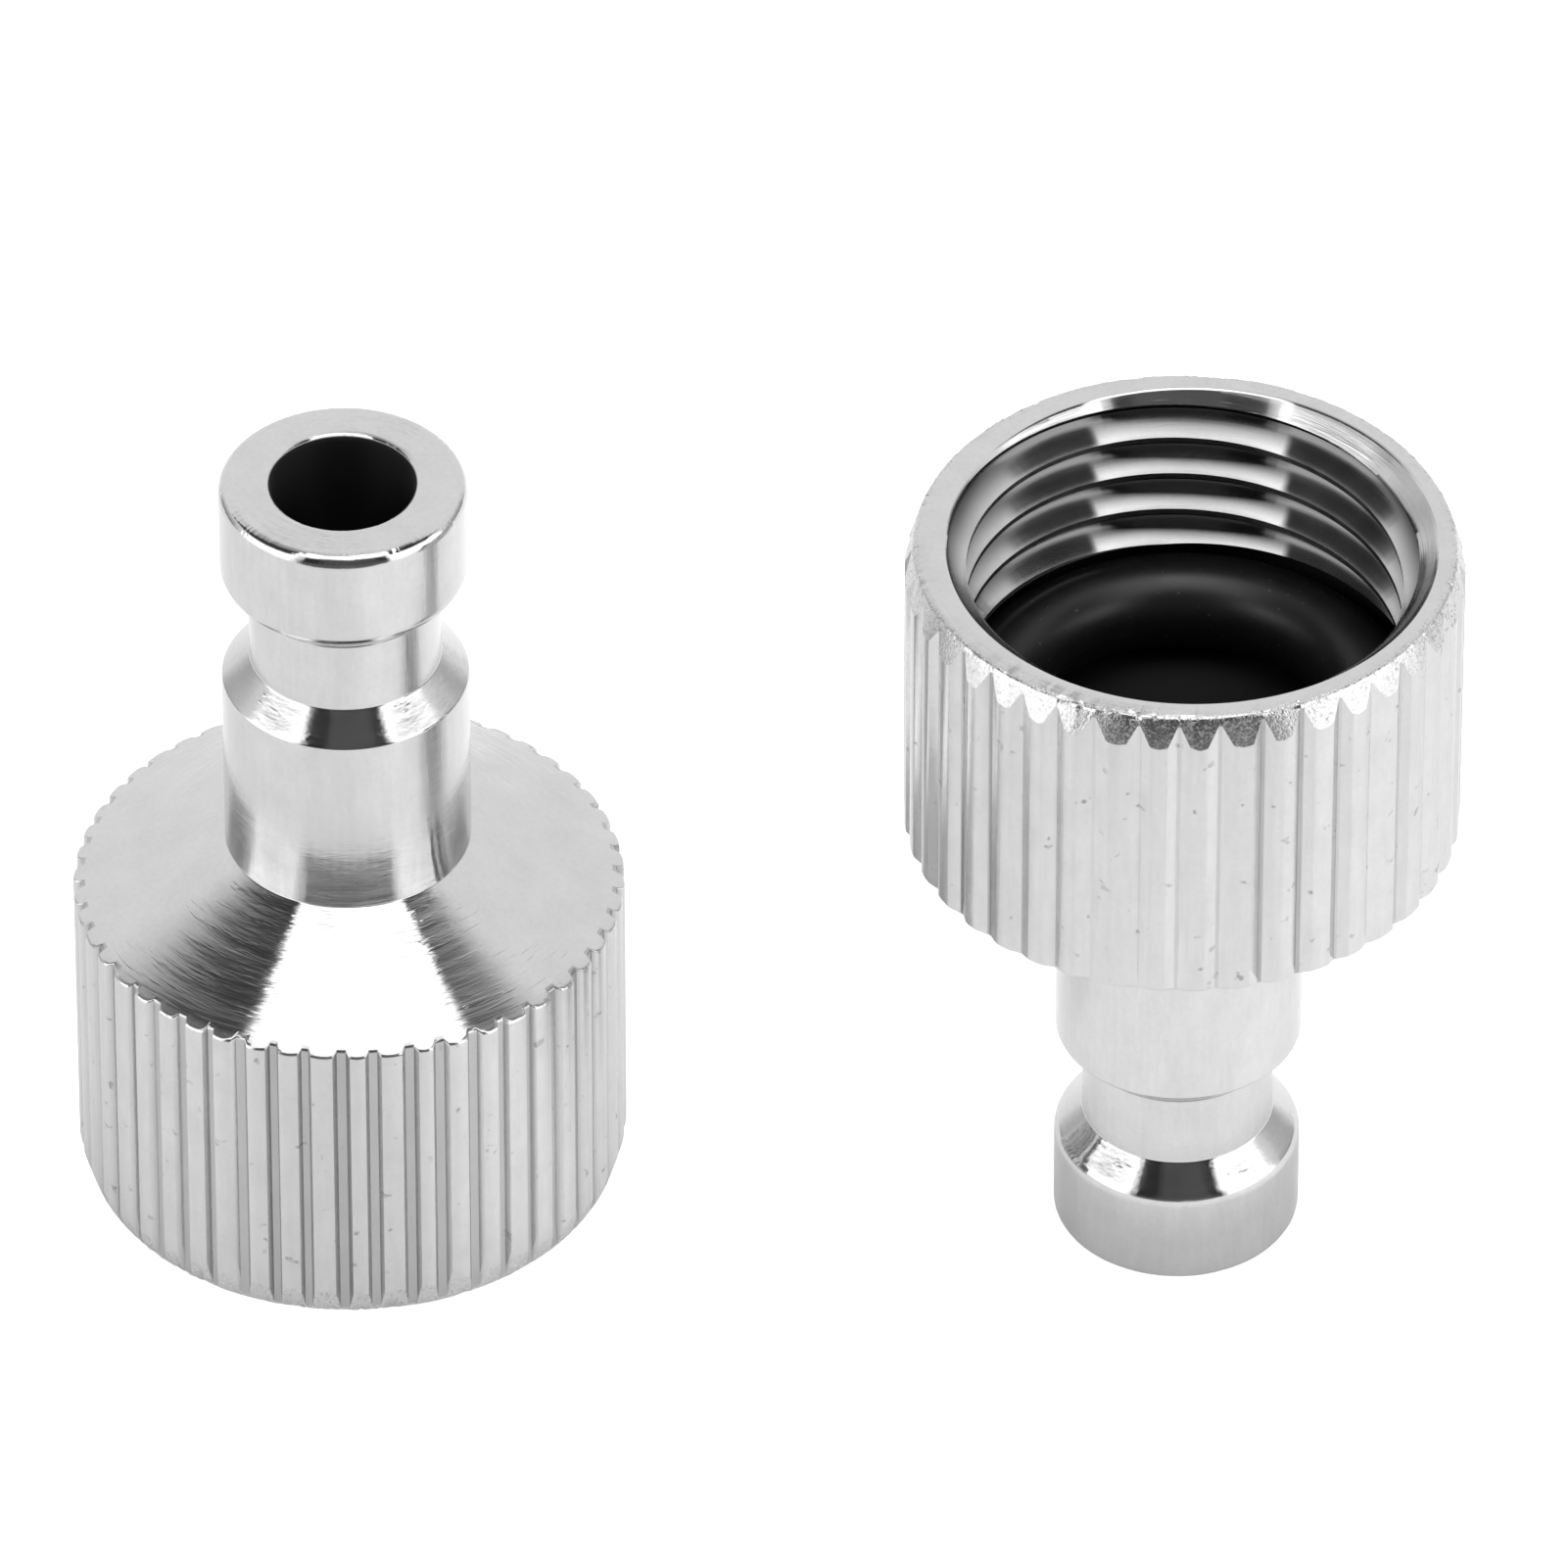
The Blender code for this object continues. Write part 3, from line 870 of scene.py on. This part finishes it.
def studio_light():
    """White studio: a lamp box overhead, two boxes at the sides, a grey ceiling and a dark front."""
    world = bpy.data.worlds.new("studio")
    bpy.context.scene.world = world
    world.use_nodes = True
    tree = world.node_tree
    background = tree.nodes["Background"]
    way = Wire.add(tree, "ShaderNodeTexCoord", output="Generated")
    parts = Wire.add(tree, "ShaderNodeSeparateXYZ", {}, {0: way})
    x = parts.out("X")
    y = parts.out("Y")
    up = parts.out("Z")
    side = x.math("ARCTAN2", -1 * y) * (180 / pi)
    off_front = side.math("ABSOLUTE")
    rise = up.math("ARCSINE") * (180 / pi)

    low_rear = off_front.window(*LOW_REAR_ROUND) * (1 - rise.step(*LOW_REAR_TOP))
    light = low_rear.blend(BACK_WALL, rise.step(*FLOOR_LINE).blend(LOW_REAR_FLOOR, LOW_REAR))
    # The ceiling darkens towards the overhead box, soonest in front and latest on the right behind
    on_right = x.step(*ON_RIGHT)
    ceiling = on_right.blend(rise.step(*CEILING_UP_LEFT), rise.step(*CEILING_UP_RIGHT))
    ceiling = y.step(*BEHIND).blend(rise.step(*CEILING_UP_FRONT), ceiling)
    ceiling_light = on_right.blend(CEILING_LEFT, CEILING_RIGHT)
    ceiling_light = y.step(*CEILING_BACK).blend(CEILING_FRONT, ceiling_light)
    light = ceiling.blend(light, ceiling_light)
    # Above the side boxes the room is dark, further round and lower on the left
    dark_right = side.window(*DARK_RIGHT_ROUND) * rise.step(*DARK_RIGHT_UP)
    dark_left = (-1 * side).window(*DARK_LEFT_ROUND) * rise.step(*DARK_LEFT_UP)
    light = dark_right.most(dark_left).blend(light, DARK_WALL)
    # The tops of the side boxes slope down towards the back
    boxes = off_front.window(*BOX_ROUND) * (rise + (off_front - BOX_START) * BOX_SLOPE).window(*BOX_UP)
    light = boxes.blend(light, SIDE_BOX)
    front = side.window(*FRONT_ROUND) * rise.window(*FRONT_UP)
    dim = side.window(*FRONT_MIDDLE_ROUND).blend(FRONT_SIDES, FRONT_MIDDLE)
    light = front.blend(light, rise.step(*FRONT_LOW_UP).blend(FRONT_LOW, dim))
    # The overhead box is wider at the front, and its lamp shows in the middle
    reach = (x - OVERHEAD_MIDDLE).math("ABSOLUTE") / (OVERHEAD_HALF_WIDTH - OVERHEAD_TAPER * y)
    overhead = (1 - reach.step(*OVERHEAD_EDGE)) * y.window(*OVERHEAD_DEPTH) * up.step(*OVERHEAD_UP)
    lamp = x.window(*LAMP_WIDTH) * y.window(*LAMP_DEPTH)
    light = overhead.blend(light, lamp.blend(OVERHEAD_BOX, OVERHEAD_LAMP))
    seen = Wire.add(tree, "ShaderNodeLightPath", output="Is Camera Ray")
    feed(background, Color=(1, 1, 1, 1), Strength=seen.blend(light, BACKDROP))


def camera():
    lens = bpy.data.cameras.new("photo_camera")
    lens.lens = CAMERA_LENS
    lens.sensor_width = CAMERA_SENSOR
    lens.clip_start = CAMERA_NEAR_LIMIT
    obj = bpy.data.objects.new("photo_camera", lens)
    back = Vector((0, -cos(CAMERA_ELEVATION), sin(CAMERA_ELEVATION)))
    obj.location = CAMERA_TARGET + back * CAMERA_DISTANCE
    obj.rotation_euler = (-back).to_track_quat("-Z", "Y").to_euler()
    bpy.context.scene.collection.objects.link(obj)
    bpy.context.scene.camera = obj


def axis_of(node):
    low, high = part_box(node)
    return (low + high) / 2


UPRIGHT_KNURL = {
    "Grooves": 50,
    "Land Steps": 4,
    "Seed": 3,
    "First Groove": radians(-91),
    "Groove Width": 0.3 * MM,
    "Floor Share": 0.53,
    "Crown": 0.02 * MM,
    "Width Scatter": 0.2,
    "Depth Scatter": 0.2,
    "Land Tilt": 0.012 * MM,
}
INVERTED_KNURL = {
    "Grooves": 41,
    "Land Steps": 6,
    "Seed": 8,
    "First Groove": radians(92),
    "Groove Width": 0.48 * MM,
    "Floor Share": 0.12,
    "Crown": 0.01 * MM,
    "Width Scatter": 0.16,
    "Depth Scatter": 0.25,
    "Land Tilt": 0.012 * MM,
}
# How much painted shade darkens the grooves of each knurl, and between which shares of their depth it
# starts
UPRIGHT_GROOVE_SHADE = GrooveShade(share=1.1, start=0.3, full=1.0)
INVERTED_GROOVE_SHADE = GrooveShade(share=1.4, start=0.8, full=0.95)

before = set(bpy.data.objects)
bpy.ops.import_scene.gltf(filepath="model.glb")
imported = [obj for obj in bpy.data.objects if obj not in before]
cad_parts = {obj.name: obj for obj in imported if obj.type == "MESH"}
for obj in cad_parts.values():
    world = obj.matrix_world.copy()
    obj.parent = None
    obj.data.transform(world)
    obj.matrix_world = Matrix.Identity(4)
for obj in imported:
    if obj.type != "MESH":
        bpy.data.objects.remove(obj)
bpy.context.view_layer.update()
bpy.context.scene.view_settings.view_transform = "Standard"

tree = plug_tree()
plugs = (
    ("upright", UPRIGHT_KNURL, UPRIGHT_GROOVE_SHADE, 0.0, 0.0),
    ("inverted", INVERTED_KNURL, INVERTED_GROOVE_SHADE, LENGTH, pi),
)
for which, knurl, groove_shade, mouth_height, turned_over in plugs:
    axis = axis_of(which + "_seal_ring")
    place = Matrix.Translation((axis.x, axis.y, mouth_height)) @ Matrix.Rotation(turned_over, 4, "X")
    plate = nickel_plate(which + "_nickel_plate", axis, groove_shade)
    body = plug_body(which + "_body", tree, knurl, place, plate)
    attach(body, which + "_plug")
    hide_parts(which + "_plug_body")
    ring = seal_ring(which + "_ring", which + "_seal_ring", seal_rubber(which + "_seal_rubber", axis))
    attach(ring, which + "_plug")
    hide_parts(which + "_seal_ring")

pale_sheet(axis_of("inverted_seal_ring"))
studio_light()
camera()
